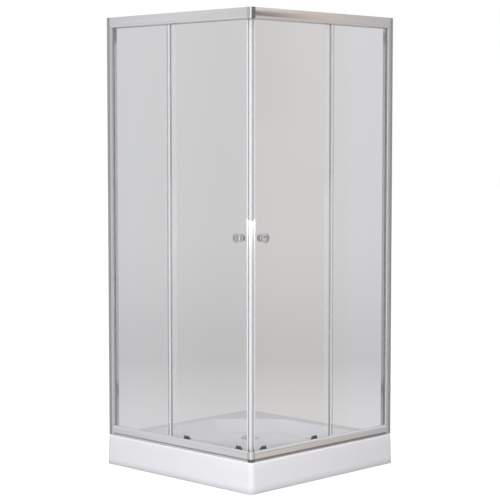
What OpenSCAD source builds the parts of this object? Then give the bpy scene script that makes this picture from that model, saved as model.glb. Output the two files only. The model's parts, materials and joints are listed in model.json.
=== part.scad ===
/* [Cabin] */
// Side of the square tray
tray_side = 900; // [840:10:1000]
// Height of the frame's top above the floor
cabin_h = 1965; // [1850:5:2050]
// How far the frame's outer face stands in from the tray's edge
frame_setback = 15; // [13:1:20]

/* [Tray] */
// Height of the tray's rim above the floor
tray_h = 130; // [124:1:150]
// Radius of the tray's upright corners
tray_corner_r = 22; // [18:1:30]
// Radius of the tray's top outer edge
tray_edge_r = 8; // [5:1:9]
// How far the skirt leans in from the floor to the rim
skirt_draft = 4; // [2:0.5:5]
// Thickness of the acrylic shell
tray_wall = 4; // [3:0.5:5]
// Gap between the skirt and the floor
skirt_gap = 2; // [1:0.5:4]
// Width of the flat rim round the basin
rim_w = 78; // [72:1:90]
// Leg of the corner deck, along the rim
deck_leg = 220; // [180:10:250]
// Depth of the basin
basin_depth = 52; // [46:1:54]
// How far the basin's walls lean in towards the floor
basin_lean = 38; // [30:1:42]
// Radius of the basin's corners in plan
basin_corner_r = 45; // [30:5:60]
// Radius between the basin's walls and its floor
basin_floor_r = 18; // [12:1:24]
// Width of the softened edge where the rim turns down into the basin
basin_edge = 5; // [3:1:7]
// Height of the lip that stays on the two wall sides
wall_lip_h = 34; // [26:2:44]
// Length of full skirt kept at each end of a wall side
skirt_return = 60; // [40:5:90]

/* [Support] */
// Thickness of the chipboard under the basin
board_t = 16; // [12:1:18]
// How far the board's edge stays inside the basin's floor
board_margin = 18; // [14:1:30]
// Distance of the legs from the board's edges
leg_inset = 62; // [45:1:80]
// Diameter of a leg's threaded stud
stud_d = 10; // [8:1:12]
// Diameter of a foot pad
pad_d = 50; // [40:2:60]
// Height of a foot pad
pad_h = 10; // [8:1:14]

/* [Waste] */
// Distance of the drain from the edges of the basin's floor, along both sides
drain_inset = 188; // [165:1:215]
// Diameter of the visible grate
grate_d = 60; // [54:1:70]
// Diameter of the waste's threaded neck
neck_d = 44; // [38:1:48]
// Diameter of the trap's cup
trap_d = 100; // [90:2:110]
// Outer diameter of the outlet spigot
outlet_d = 40; // [32:1:42]
// Free length of the outlet spigot
outlet_l = 55; // [45:5:60]

/* [Rails] */
// Height of the bottom rails
bottom_rail_h = 44; // [42:1:50]
// Height of the top rails
top_rail_h = 46; // [44:1:54]
// Wall of the aluminium extrusions
rail_wall = 1.6; // [1.2:0.1:2]
// Depth of the hollow outer bead of a rail
bead_d = 8.4; // [7.6:0.2:10]
// Radius of the bead's curved edge beside the glass
bead_r = 15; // [13:1:20]
// Height of the recessed foot under a bottom rail's bead
rail_foot_h = 12; // [8:1:13]
// Depth of the fixed glass in the top rail
glass_bite = 15; // [10:1:20]
// Height of the running rib
rib_h = 4; // [3:0.5:5]
// Width of the running rib
rib_w = 1.4; // [1:0.1:1.6]
// Visible length of the corner connectors along each side
connector_l = 23; // [22:0.5:24]
// How far the corner connectors stand proud of the rails
connector_proud = 0.8; // [0.4:0.1:1.4]
// Length of a connector's arm in the rail's bead
arm_l = 38; // [25:1:50]

/* [Uprights] */
// Width of the wall profile along the side
wall_profile_l = 13; // [11:1:16]
// Width of the jamb that shows beside the wall profile
jamb_show = 13; // [10:1:20]
// Depth of the jamb's glass slot
jamb_nose = 4; // [3:0.5:8]
// Wall of the upright extrusions
upright_wall = 1.4; // [1.2:0.1:1.8]
// How far the rails stand proud of the uprights
upright_back = 1.8; // [1:0.1:3]
// Radius of the wall screw holes
wall_hole_r = 2.75; // [2.25:0.25:3.5]
// Distance from the ends of the wall profile to its outer holes
wall_hole_inset = 200; // [120:10:260]

/* [Glass] */
// Thickness of the toughened glass
glass_t = 5; // [4:0.5:6]
// Width of a door
door_l = 480; // [460:5:485]
// Overlap of a closed door and its fixed glass
overlap = 35; // [30:1:45]
// Space between the fixed glass and the door glass
door_gap = 10; // [9:0.5:13]
// Thickness of the glazing gasket
gasket_t = 1; // [0.6:0.1:1.4]
// Length of the gasket's legs on the glass
gasket_leg = 10; // [7:1:12]
// How far a door slides
door_travel = 310; // [280:5:312]

/* [Rollers] */
// Distance of the front rollers from the door's front edge
roller_front = 55; // [45:1:65]
// Distance between a door's front and rear rollers
roller_pitch = 311; // [290:1:330]
// Diameter of the roller caps
cap_d = 36; // [32:1:38]
// Thickness of a roller cap
cap_t = 3.8; // [3.2:0.2:4.6]
// Height of the lower axles below the bottom rail's top
lower_axle_drop = 7.5; // [6:0.5:9]
// Height of the upper axles above the top rail's underside
upper_axle_rise = 20; // [19:0.5:22]
// Radius of a wheel's flanges
wheel_r = 10.5; // [10:0.1:11]
// Radius of a wheel's running groove
groove_r = 8.5; // [8:0.1:9]
// Width of a wheel
wheel_t = 5; // [4.6:0.1:5.4]
// Radius of the axles
axle_r = 2; // [1.75:0.25:2.5]
// Thickness of the roller plates on the inner face of the door
plate_t = 3.3; // [3:0.1:4]
// Travel of the sprung lower carriers
release_travel = 5; // [4:0.5:6]

/* [Knobs] */
// Distance of the knobs from the door's front edge
knob_inset = 39; // [34:1:48]
// Height of the knobs above the floor
knob_z = 1040; // [950:5:1100]
// Diameter of the knob's round head
knob_d = 41; // [36:1:44]
// Diameter of the knob's base on the glass
knob_base_d = 35; // [30:1:38]
// Reach of the outer knob from the glass
knob_reach = 33; // [28:1:38]
// Diameter of the low cap behind each knob, inside the glass
inner_cap_d = 31; // [28:1:34]
// Thickness of that cap
inner_cap_t = 6; // [5:0.5:8]

/* [Seals] */
// Thickness of the clear seals' walls
seal_t = 1.1; // [0.8:0.1:1.4]
// Length of the seals' legs on the glass
seal_leg = 22; // [16:1:26]
// How far the fixed glass's fin reaches towards the corner
fin_l = 20; // [14:1:24]
// Length of the magnet seal's grip on the door glass
magnet_grip = 9; // [7:1:12]

/* [Clearances] */
// Clearance of pieces that are pushed together
fit_gap = 0.1; // [0.05:0.05:0.2]
// Clearance of pieces that move past each other
run_gap = 0.3; // [0.25:0.05:0.4]
// Radial clearance of a wheel on its axle
axle_gap = 0.08; // [0.05:0.01:0.1]
// Radial clearance of bolts in the glass
hole_gap = 2; // [1.5:0.25:3]

/* [Hidden] */
$fn = 64;
hull_fn = 32;
cut = 1;
corner = tray_side / 2 - frame_setback;
wall_s = corner + tray_side / 2;
rim_z = tray_h;
floor_z = tray_h - basin_depth;
basin_half = tray_side / 2 - rim_w;
floor_half = basin_half - basin_lean;
board_half = floor_half - board_margin;
board_z = floor_z - tray_wall - board_t;
drain_offset = floor_half - drain_inset;
drain_at = [-drain_offset, drain_offset];
neck_r = neck_d / 2;
grate_r = grate_d / 2;
flange_r = grate_r + 4;
trap_r = trap_d / 2;
trap_lift = (board_z - outlet_d) * 0.6;
trap_z = trap_lift - 2;
trap_wall = 2.5;
waste_gasket_t = 2;
trap_top = floor_z - tray_wall - waste_gasket_t;
outlet_z = trap_lift + outlet_d / 2;
outlet_end = drain_at.x - trap_r - outlet_l;

slot_w = bead_d;
fixed_w = slot_w + gasket_t + fit_gap;
lip_w = fixed_w + glass_t + gasket_t + fit_gap;
door_w = fixed_w + glass_t + door_gap;
plate_w = door_w + glass_t + 2 * fit_gap;
wheel_w = plate_w + plate_t + 1;
wheel_mid = wheel_w + wheel_t / 2;
head_w = wheel_w + wheel_t + fit_gap;
head_t = 1;
inner_w = head_w + head_t + run_gap;
rail_d = inner_w + rail_wall;
bottom_top = tray_h + bottom_rail_h;
top_z = cabin_h - top_rail_h;
lower_axle_z = bottom_top - lower_axle_drop;
upper_axle_z = top_z + upper_axle_rise;
rib_drop = groove_r + run_gap;
bead_ease = 0.02;
bead_land = 0.8;
bead_reach = bead_r - bead_ease - bead_d + bead_land;
bead_curve = sqrt(bead_r * bead_r - bead_reach * bead_reach);
port_r = 2.1;
port_wall = 1.4;
top_port = [slot_w + (lip_w - slot_w) / 2, top_rail_h - rail_wall - port_r - port_wall + 0.6];
bottom_port = [lip_w + rail_wall + 8, rail_wall + port_r + 0.8];

jamb_s = wall_s - wall_profile_l - jamb_show;
jamb_back = wall_s - upright_wall - 2.6;
jamb_w = upright_back + upright_wall + run_gap;
jamb_d = rail_d - 2 * jamb_w;
glass_end = jamb_s - gasket_t - fit_gap;
door_s = connector_l + 18;
fixed_s = door_s + door_l - overlap;
glass_z = tray_h + rail_foot_h + rail_wall + gasket_t + fit_gap;
glass_top = top_z + glass_bite;
door_z = lower_axle_z - 20;
door_top = upper_axle_z + 16;
front_s = door_s + roller_front;
rear_s = front_s + roller_pitch;
knob_s = door_s + knob_inset;
bolt_r = 4;
glass_hole_r = bolt_r + hole_gap;
cap_r = cap_d / 2;
end_gap = 1.5;
seal_z = bottom_top + end_gap;
seal_top = top_z - end_gap;
tab_reach = 1.08;
fin_z = lower_axle_z + cap_r * tab_reach + end_gap;

// Support
bush_h = 12;
bush_wall = 4;
bracket_t = 2.5;
bracket_l = 56;
bracket_w = 32;
bracket_hole = 20;
bracket_hole_r = 2.2;
nut_h = 8;
stud_bite = 8;
stud_seat = 3;

// Waste
flange_t = 2.4;
neck_wall = 2.5;
grate_t = 2.6;
gasket_rim = 9;
cup_r = 8;
collar_l = 5;
collar_t = 1.5;
outlet_bite = 8.5;

// Rails
connector_screw_r = 1.9;
arm_screw_r = 1.5;
arm_screw_l = 5;
screw_head_r = 3;
screw_head_h = 1.8;
port_screw_r = 1.9;
port_screw_l = 16;
adjust_screw_r = 1.7;
adjust_screw_l = 7;
screw_s = connector_l + 20;
connector_r = 7;
connector_edge_r = 10;

// Uprights
adjust_inset = 110;
adjust_shift = 60;
adjust_z = [tray_h + adjust_inset, (tray_h + cabin_h) / 2 + adjust_shift, cabin_h - adjust_inset];
adjust_s = wall_s - wall_profile_l + 5;
wall_holes = [tray_h + wall_hole_inset, (tray_h + cabin_h) / 2, cabin_h - wall_hole_inset];

// Doors
magnet_w0 = door_w - seal_t - fit_gap - 0.4;
magnet_w1 = door_w + glass_t + 4.5;
magnet_t = 3;
magnet_skin = 1.2;
magnet_half = 3.4;
magnet_neck = 3;
neck_dip = 1.6;
knob_bore = 3.1;
cap_skin = 2;
roller_places = [
    [front_s, lower_axle_z], [rear_s, lower_axle_z], [front_s, upper_axle_z], [rear_s, upper_axle_z]
];
plate_r = cap_r - 1;
guide_half = 8;
guide_t = 3.1;
housing_t = 1.4;
carrier_low = 8;
carrier_high = 9;
tab_w = 9;
tab_t = 2.5;
tab_out = 3;
hub_t = 0.5;

BODY_ALU = [0.72, 0.73, 0.74];
CHROME = [0.85, 0.86, 0.88];
GLASS = [0.80, 0.84, 0.86, 0.45];
ACRYLIC = [0.93, 0.93, 0.92];
DARK = [0.22, 0.22, 0.23];
CLEAR = [0.86, 0.88, 0.90, 0.6];
STEEL = [0.62, 0.63, 0.65];
WHITE = [0.95, 0.95, 0.95];
CHIPBOARD = [0.78, 0.64, 0.45];

// A side is drawn with X along it from the entry corner, Y inwards from the
// frame's outer face and Z up, and is then set on the left or the right.
module left_side() {
    translate([corner, -corner, 0]) mirror([1, 0, 0]) children();
}

module right_side() {
    translate([corner, -corner, 0]) rotate([0, 0, 90]) children();
}

// A box between two opposite corners
module span(a, b) {
    translate(a) cube(b - a);
}

// A flat rectangle between two opposite corners
module flat(a, b) {
    translate(a) square(b - a);
}

// Extrudes a depth-and-height section along a side
module along(from, to) {
    translate([from, 0, 0]) rotate([90, 0, 90]) linear_extrude(to - from) children();
}

// Extrudes a plan section upwards
module upright(from, to) {
    translate([0, 0, from]) linear_extrude(to - from) children();
}

// A cylinder that runs inwards through the side
module inward(s, w, z, r, l, fn = 48) {
    translate([s, w, z]) rotate([-90, 0, 0]) cylinder(h = l, r = r, $fn = fn);
}

// Points of an arc, for outlines
function arc(centre, r, from, to, n = 8) =
    [for (i = [0:n]) centre + r * [cos(from + (to - from) * i / n), sin(from + (to - from) * i / n)]];

// The basin's plan is a square with one corner cut off by the deck
function inset_leg(leg, inset) = leg - (2 - sqrt(2)) * inset;
function basin_plan(half, leg) =
    [[half, -half], [half, half], [leg - half, half], [-half, half - leg], [-half, -half]];
function wall_inset(z) = basin_lean * (rim_z - z) / basin_depth;

// One thin level of the basin, drawn in from its rim by an inset
module basin_level(z, inset, r) {
    half = basin_half - inset - r;
    leg = inset_leg(deck_leg, inset + r);
    for (p = basin_plan(half, leg))
        translate([p.x, p.y, z]) cylinder(h = 0.01, r = r, $fn = hull_fn);
}

// The basin's space, or the outside of its walls when it is grown
module basin_form(grow, top) {
    r = basin_corner_r;
    hull() {
        basin_level(top, wall_inset(top) - grow, r);
        for (a = [0:30:90]) {
            z = floor_z - grow + basin_floor_r * (1 - cos(a));
            basin_level(z, wall_inset(z + grow) - grow + 0.6 * basin_floor_r * (1 - sin(a)), r);
        }
    }
}

module tray_corner(r, z) {
    at = tray_side / 2 - tray_corner_r;
    for (x = [-at, at], y = [-at, at])
        translate([x, y, z]) cylinder(h = 0.01, r = r, $fn = hull_fn);
}

module tray_outside() {
    lean_r = tray_corner_r - skirt_draft;
    hull() {
        tray_corner(tray_corner_r, skirt_gap);
        for (a = [0:22.5:90])
            tray_corner(lean_r - tray_edge_r * (1 - cos(a)), rim_z - 0.01 - tray_edge_r * (1 - sin(a)));
    }
}

module tray_inside() {
    lean_r = tray_corner_r - skirt_draft - tray_wall;
    hull() {
        tray_corner(tray_corner_r - tray_wall, skirt_gap - cut);
        tray_corner(lean_r, rim_z - tray_wall - tray_edge_r);
        tray_corner(lean_r - tray_edge_r / 2, rim_z - tray_wall);
    }
}

module tray_shell() {
    cut_half = tray_side / 2 - skirt_return;
    cut_top = tray_h - wall_lip_h;
    edge = tray_side / 2 + cut;
    inside = tray_side / 2 - tray_corner_r;
    color(ACRYLIC) difference() {
        union() {
            difference() {
                tray_outside();
                tray_inside();
            }
            basin_form(tray_wall, rim_z - tray_wall / 2);
        }
        basin_form(0, rim_z + cut);
        hull() {
            basin_level(rim_z + cut, -basin_edge * 0.6, basin_corner_r);
            basin_level(rim_z - basin_edge * 0.4, wall_inset(rim_z - basin_edge * 0.4), basin_corner_r);
        }
        translate([drain_at.x, drain_at.y, board_z]) cylinder(h = basin_depth, r = neck_r + hole_gap / 2);
        span([-edge, -cut_half, -cut], [-inside, cut_half, cut_top]);
        span([-cut_half, inside, -cut], [cut_half, edge, cut_top]);
    }
}

// The chipboard under the basin, with a clear hole for the trap
module tray_board() {
    leg = inset_leg(deck_leg, basin_lean + board_margin);
    color(CHIPBOARD) difference() {
        upright(board_z, board_z + board_t) polygon(basin_plan(board_half, leg));
        translate([drain_at.x, drain_at.y, board_z - cut])
            cylinder(h = board_t + 2 * cut, r = trap_r + 8);
        at_legs() translate([0, 0, board_z - cut])
            cylinder(h = stud_bite + 2 + cut, r = stud_d / 2 + hole_gap / 2);
    }
}

// Three legs stand in the square corners, and two share the cut corner
module at_legs() {
    at = board_half - leg_inset;
    side = board_half - inset_leg(deck_leg, basin_lean + board_margin) - leg_inset;
    for (p = [[at, -at], [-at, -at], [at, at], [-at, side], [-side, at]])
        translate([p.x, p.y, 0]) children();
}

module leg_brackets() {
    color(STEEL) at_legs() difference() {
        union() {
            span([-bracket_l / 2, -bracket_w / 2, board_z - bracket_t],
                 [bracket_l / 2, bracket_w / 2, board_z]);
            translate([0, 0, board_z - bush_h]) cylinder(h = bush_h, r = stud_d / 2 + bush_wall);
        }
        translate([0, 0, board_z - bush_h - cut]) cylinder(h = bush_h + 2 * cut, r = stud_d / 2 + fit_gap);
        for (x = [-bracket_hole, bracket_hole])
            translate([x, 0, board_z - bracket_t - cut])
                cylinder(h = bracket_t + 2 * cut, r = bracket_hole_r);
    }
}

module leg_studs() {
    low = pad_h - stud_seat;
    color(STEEL) at_legs() translate([0, 0, low]) cylinder(h = board_z + stud_bite - low, r = stud_d / 2);
}

module leg_nuts() {
    top = board_z - bush_h - fit_gap;
    color(STEEL) at_legs() difference() {
        translate([0, 0, top - nut_h]) cylinder(h = nut_h, r = stud_d * 0.98, $fn = 6);
        translate([0, 0, top - nut_h - cut]) cylinder(h = nut_h + 2 * cut, r = stud_d / 2 + fit_gap);
    }
}

module leg_feet() {
    bore_r = stud_d / 2 + fit_gap;
    socket_r = bore_r + 3;
    seat = pad_h - stud_seat - fit_gap;
    color(DARK) at_legs() rotate_extrude() polygon([
        [0, 0], [pad_d / 2 - 1, 0], [pad_d / 2, 1], [pad_d / 2, 3], [socket_r + 2, pad_h - 2],
        [socket_r, pad_h + 4], [bore_r, pad_h + 4], [bore_r, seat], [0, seat]
    ]);
}

// The chrome flange clamps the floor against the trap
module waste_flange() {
    seat = grate_r + run_gap;
    color(CHROME) translate([drain_at.x, drain_at.y, 0]) rotate_extrude() polygon([
        [neck_r - neck_wall, trap_top - 12], [neck_r, trap_top - 12], [neck_r, floor_z + 0.05],
        [flange_r, floor_z + 0.05], [flange_r - 0.4, floor_z + 1.4], [flange_r - 2, floor_z + flange_t],
        [seat, floor_z + flange_t], [seat, floor_z + 1], [neck_r - neck_wall, floor_z + 1]
    ]);
}

// The round grate with its rings of slots
module waste_grate() {
    z = floor_z + 1 + fit_gap;
    t = grate_t;
    color(CHROME) translate([drain_at.x, drain_at.y, z]) difference() {
        rotate_extrude() polygon([
            [0, 0], [grate_r - 0.4, 0], [grate_r, 0.4], [grate_r, t - 1], [grate_r - 1.5, t - 0.2],
            [8, t], [0, t]
        ]);
        for (i = [0:11]) rotate([0, 0, 30 * i])
            span([10, -1.4, -cut], [18, 1.4, t + cut]);
        for (i = [0:17]) rotate([0, 0, 20 * i])
            translate([22, 0, -cut]) cylinder(h = t + 2 * cut, r = 1.6, $fn = 20);
    }
}

module waste_gasket() {
    color(DARK) translate([drain_at.x, drain_at.y, trap_top]) difference() {
        cylinder(h = waste_gasket_t, r = neck_r + gasket_rim);
        translate([0, 0, -cut]) cylinder(h = waste_gasket_t + 2 * cut, r = neck_r + hole_gap / 2);
    }
}

// A low trap: a cup with its threaded mouth under the flange and a side outlet
module trap_body() {
    color(WHITE) difference() {
        union() {
            translate([drain_at.x, drain_at.y, 0]) rotate_extrude() polygon([
                [0, trap_z], [trap_r - cup_r, trap_z], [trap_r, trap_z + cup_r], [trap_r, board_z - 6],
                [trap_r - cup_r, board_z + 2], [neck_r + gasket_rim, board_z + 4],
                [neck_r + gasket_rim, trap_top - fit_gap], [0, trap_top - fit_gap]
            ]);
            outlet(outlet_d / 2, outlet_end);
            outlet(outlet_d / 2 + collar_t, outlet_end + outlet_l - collar_l);
        }
        trap_cavity();
        outlet(outlet_d / 2 - trap_wall, outlet_end - cut);
    }
}

// The cup's inside, which narrows to the mouth round the flange's neck
module trap_cavity() {
    mouth_r = neck_r + fit_gap;
    translate([drain_at.x, drain_at.y, 0]) rotate_extrude() polygon([
        [0, trap_z + trap_wall], [trap_r - cup_r - 1, trap_z + trap_wall],
        [trap_r - trap_wall, trap_z + cup_r + 1], [trap_r - trap_wall, board_z - 8],
        [trap_r - cup_r - 2, board_z - 1], [mouth_r + trap_wall, trap_top - 15],
        [mouth_r, trap_top - 14], [mouth_r, trap_top + cut], [0, trap_top + cut]
    ]);
}

// The spigot that leaves the cup's side, its collar or its bore
module outlet(r, from) {
    into = outlet_end + outlet_l + outlet_bite;
    translate([from, drain_at.y, outlet_z]) rotate([0, 90, 0]) cylinder(h = into - from, r = r);
}

// Section of the hollow bead, in from the outer face, with its curved edge at the top.
// The arc's centre is a hair nearer than its radius, so that it meets the face in a clean edge.
module bead_form(inset, low, high) {
    turn = high - bead_curve;
    flat([inset, low + inset], [bead_d - inset, turn]);
    intersection() {
        translate([bead_r - bead_ease, turn]) circle(r = bead_r - inset, $fn = 96);
        flat([inset, turn - bead_ease], [bead_d - inset, high]);
    }
}

module bead_section(low, high) {
    difference() {
        bead_form(0, low, high);
        bead_form(rail_wall, low, high);
    }
}

// The inner ledge is a small box that carries the running rib
module ledge_section(low, ledge) {
    difference() {
        flat([wheel_w, low], [rail_d, ledge]);
        flat([wheel_w + rail_wall, low + rail_wall], [rail_d - rail_wall, ledge - rail_wall]);
    }
    flat([wheel_mid - rib_w / 2, ledge - 0.4], [wheel_mid + rib_w / 2, ledge + rib_h]);
}

module screw_port(at) {
    translate(at) difference() {
        circle(r = port_r + port_wall, $fn = 40);
        circle(r = port_r, $fn = 40);
    }
}

module bottom_rail_section() {
    ledge = bottom_rail_h - lower_axle_drop - rib_drop - rib_h;
    foot_w = bead_d - rail_wall;
    bead_section(rail_foot_h, bottom_rail_h);
    flat([foot_w, 0], [rail_d, rail_wall]);
    flat([foot_w, 0], [bead_d, rail_foot_h + rail_wall]);
    flat([foot_w, rail_foot_h], [lip_w + rail_wall, rail_foot_h + rail_wall]);
    flat([lip_w, 0], [lip_w + rail_wall, bottom_rail_h - 4]);
    ledge_section(0, ledge);
    screw_port(bottom_port);
}

module top_rail_section() {
    ledge = upper_axle_rise - rib_drop - rib_h;
    translate([0, top_rail_h]) mirror([0, 1]) bead_section(0, top_rail_h);
    flat([0, top_rail_h - rail_wall], [rail_d, top_rail_h]);
    flat([lip_w, 0], [lip_w + rail_wall, top_rail_h]);
    flat([inner_w, 0], [rail_d, top_rail_h]);
    ledge_section(0, ledge);
    screw_port(top_port);
}

// Both rails are mitred at the corner, with the nose cut square for the connector
module mitre(z, h) {
    far = rail_d + 4;
    upright(z - cut, z + h + cut) polygon([
        [connector_l - cut, connector_l - cut - run_gap], [far, far - run_gap], [far, far + 4],
        [connector_l - cut, far + 4]
    ]);
}

module rail_blank(z, h) {
    difference() {
        translate([0, 0, z]) along(connector_l + fit_gap, jamb_s - fit_gap) children();
        mitre(z, h);
    }
}

module bottom_rail() {
    difference() {
        rail_blank(tray_h, bottom_rail_h) bottom_rail_section();
        inward(screw_s, rail_wall + cut, connector_screw_z(false), connector_screw_r, bead_d);
    }
}

module top_rail() {
    difference() {
        rail_blank(top_z, top_rail_h) top_rail_section();
        inward(screw_s, rail_wall + cut, connector_screw_z(true), connector_screw_r, bead_d);
    }
}

function connector_screw_z(top) = top ? top_z + bead_curve + 13 : tray_h + rail_foot_h + 10;

module left_top_rail() { color(BODY_ALU) left_side() top_rail(); }
module right_top_rail() { color(BODY_ALU) right_side() top_rail(); }
module left_bottom_rail() { color(BODY_ALU) left_side() bottom_rail(); }
module right_bottom_rail() { color(BODY_ALU) right_side() bottom_rail(); }

// A channel that is screwed to the wall
module wall_profile() {
    w0 = upright_back;
    w1 = rail_d - upright_back;
    s0 = wall_s - wall_profile_l;
    difference() {
        upright(tray_h, cabin_h) difference() {
            flat([s0, w0], [wall_s, w1]);
            flat([s0 - cut, w0 + upright_wall], [wall_s - upright_wall, w1 - upright_wall]);
        }
        for (z = wall_holes) translate([wall_s - upright_wall - cut, rail_d / 2, z]) rotate([0, 90, 0])
            cylinder(h = upright_wall + 2 * cut, r = wall_hole_r, $fn = 48);
        for (z = adjust_z) inward(adjust_s, w1 - upright_wall - cut, z, 2.1, upright_wall + 2 * cut);
    }
}

// A box that slides in the wall profile, with the glass slot on its nose
module jamb_profile() {
    low_port = [jamb_s, bottom_port.x, tray_h + bottom_port.y];
    high_port = [jamb_s, top_port.x, top_z + top_port.y];
    difference() {
        union() {
            upright(tray_h, cabin_h - fit_gap) difference() {
                flat([jamb_s, jamb_w], [jamb_back, jamb_w + jamb_d]);
                flat([jamb_s + upright_wall, jamb_w + upright_wall],
                     [jamb_back - upright_wall, jamb_w + jamb_d - upright_wall]);
            }
            upright(bottom_top + fit_gap, top_z - fit_gap) {
                flat([jamb_s - jamb_nose, slot_w - upright_wall], [jamb_s + 0.2, slot_w]);
                flat([jamb_s - jamb_nose, lip_w], [jamb_s + 0.2, lip_w + upright_wall]);
            }
        }
        for (p = [low_port, high_port]) translate(p - [cut, 0, 0]) rotate([0, 90, 0])
            cylinder(h = upright_wall + 2 * cut, r = port_r, $fn = 48);
        for (z = adjust_z)
            inward(adjust_s, jamb_w + jamb_d - upright_wall - cut, z, 1.8, upright_wall + 2 * cut);
    }
}

module left_wall_profile() { color(BODY_ALU) left_side() wall_profile(); }
module right_wall_profile() { color(BODY_ALU) right_side() wall_profile(); }
module left_jamb_profile() { color(BODY_ALU) left_side() jamb_profile(); }
module right_jamb_profile() { color(BODY_ALU) right_side() jamb_profile(); }

module fixed_glass() {
    span([fixed_s, fixed_w, glass_z], [glass_end - fit_gap, fixed_w + glass_t, glass_top]);
}

module left_fixed_glass() { color(GLASS) left_side() fixed_glass(); }
module right_fixed_glass() { color(GLASS) right_side() fixed_glass(); }

// A channel gasket on three edges of the fixed glass
module glass_gasket() {
    w0 = slot_w + fit_gap / 2;
    w1 = lip_w - fit_gap / 2;
    s0 = fixed_s + seal_leg + 6;
    s1 = glass_end + gasket_t - fit_gap;
    z0 = glass_z - gasket_t;
    z1 = glass_top + gasket_t;
    difference() {
        span([s0, w0, z0], [s1, w1, z1]);
        span([s0 - cut, w0 - cut, z0 + gasket_leg], [s1 - gasket_leg, w1 + cut, z1 - gasket_leg]);
        span([s0 - cut, fixed_w - fit_gap / 4, glass_z - fit_gap / 2],
             [glass_end, fixed_w + glass_t + fit_gap / 4, glass_top + fit_gap / 2]);
    }
}

module left_glass_gasket() { color(DARK) left_side() glass_gasket(); }
module right_glass_gasket() { color(DARK) right_side() glass_gasket(); }

// A clear strip that grips the fixed glass's free edge. Its fin wipes the door, and starts above
// the lower rollers, which pass under it.
module edge_seal() {
    w0 = fixed_w - seal_t;
    w1 = fixed_w + glass_t + seal_t;
    s0 = fixed_s - seal_t;
    tip_w = door_w - run_gap;
    upright(seal_z, seal_top) difference() {
        flat([s0, w0], [fixed_s + seal_leg, w1]);
        flat([fixed_s - fit_gap, fixed_w - fit_gap], [fixed_s + seal_leg + cut, fixed_w + glass_t + fit_gap]);
    }
    upright(fin_z, seal_top) polygon([
        [s0 + 0.2, w1 - 2.2], [s0 + 0.2, w1], [s0 - fin_l * 0.45, w1 + 1.6], [s0 - fin_l, tip_w],
        [s0 - fin_l - 0.6, tip_w - 0.9], [s0 - fin_l * 0.5, w1 - 0.2]
    ]);
}

module left_edge_seal() { color(CLEAR) left_side() edge_seal(); }
module right_edge_seal() { color(CLEAR) right_side() edge_seal(); }

// The column between two rails, with its outer edge and its free corners rounded
module connector_column(z0, z1, round_low) {
    a = -connector_proud;
    b = connector_l;
    edge_r = connector_edge_r;
    r = connector_r;
    intersection() {
        upright(z0, z1) union() {
            translate([a + edge_r, a + edge_r]) circle(r = edge_r, $fn = 48);
            flat([a + edge_r, a], [b, b]);
            flat([a, a + edge_r], [b, b]);
        }
        along(a - cut, b + cut) shield(a, b, z0, z1, r, round_low);
        mirror([1, -1, 0]) along(a - cut, b + cut) shield(a, b, z0, z1, r, round_low);
    }
}

// A face of the connector, seen from the front, with its free corner rounded
module shield(a, b, z0, z1, r, round_low) {
    corner_z = round_low ? z0 : z1 - r;
    difference() {
        flat([a - 1, z0], [b, z1]);
        difference() {
            flat([b - r, corner_z], [b + 1, corner_z + r]);
            translate([b - r, round_low ? z0 + r : z1 - r]) circle(r = r, $fn = 48);
        }
    }
}

module connector_arm(z0, z1) {
    difference() {
        span([connector_l - 3, rail_wall + fit_gap, z0],
             [connector_l + arm_l, bead_d - rail_wall - fit_gap, z1]);
        inward(screw_s, rail_wall - cut, (z0 + z1) / 2, 1.6, bead_d);
    }
}

module top_corner_connector() {
    half = min(11, (top_rail_h - bead_curve - rail_wall) / 2 - 1);
    mid = connector_screw_z(true);
    color(CHROME) union() {
        right_side() connector_column(top_z, cabin_h, true);
        left_side() connector_arm(mid - half, mid + half);
        right_side() connector_arm(mid - half, mid + half);
    }
}

module bottom_corner_connector() {
    half = 6;
    mid = connector_screw_z(false);
    color(CHROME) union() {
        right_side() connector_column(tray_h + rail_foot_h + 1, bottom_top, false);
        left_side() connector_arm(mid - half, mid + half);
        right_side() connector_arm(mid - half, mid + half);
    }
}

// The dark plastic block under the bottom connector
module corner_foot() {
    inset = 2;
    edge_r = 3;
    color(DARK) right_side() upright(tray_h, tray_h + rail_foot_h + 1 - fit_gap) union() {
        translate([inset + edge_r, inset + edge_r]) circle(r = edge_r, $fn = 48);
        flat([inset + edge_r, inset], [connector_l, connector_l]);
        flat([inset, inset + edge_r], [connector_l, connector_l]);
    }
}

// A pan-head screw that points along +X from the underside of its head
module screw(r, l, head_r, head_h) {
    rotate([0, 90, 0]) union() {
        cylinder(h = l, r = r, $fn = 32);
        translate([0, 0, -head_h]) cylinder(h = head_h, r1 = head_r * 0.7, r2 = head_r, $fn = 32);
    }
}

// Screws through the beads' inner walls into the connectors' arms
module arm_screws() {
    for (z = [connector_screw_z(false), connector_screw_z(true)])
        translate([screw_s, bead_d + fit_gap, z]) rotate([0, 0, -90])
            screw(arm_screw_r, arm_screw_l, screw_head_r, screw_head_h);
}

module connector_screws() {
    color(STEEL) union() {
        left_side() arm_screws();
        right_side() arm_screws();
    }
}

// Screws from the jambs into the rails' ports, and from the wall profiles into the jambs
module side_screws() {
    head_s = jamb_s + upright_wall + fit_gap;
    for (p = [[bottom_port.x, tray_h + bottom_port.y], [top_port.x, top_z + top_port.y]])
        translate([head_s, p.x, p.y]) mirror([1, 0, 0])
            screw(port_screw_r, port_screw_l, screw_head_r, screw_head_h);
    for (z = adjust_z)
        translate([adjust_s, rail_d - upright_back + fit_gap, z]) rotate([0, 0, -90])
            screw(adjust_screw_r, adjust_screw_l, screw_head_r, screw_head_h);
}

module frame_screws() {
    color(STEEL) union() {
        left_side() side_screws();
        right_side() side_screws();
    }
}

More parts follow.
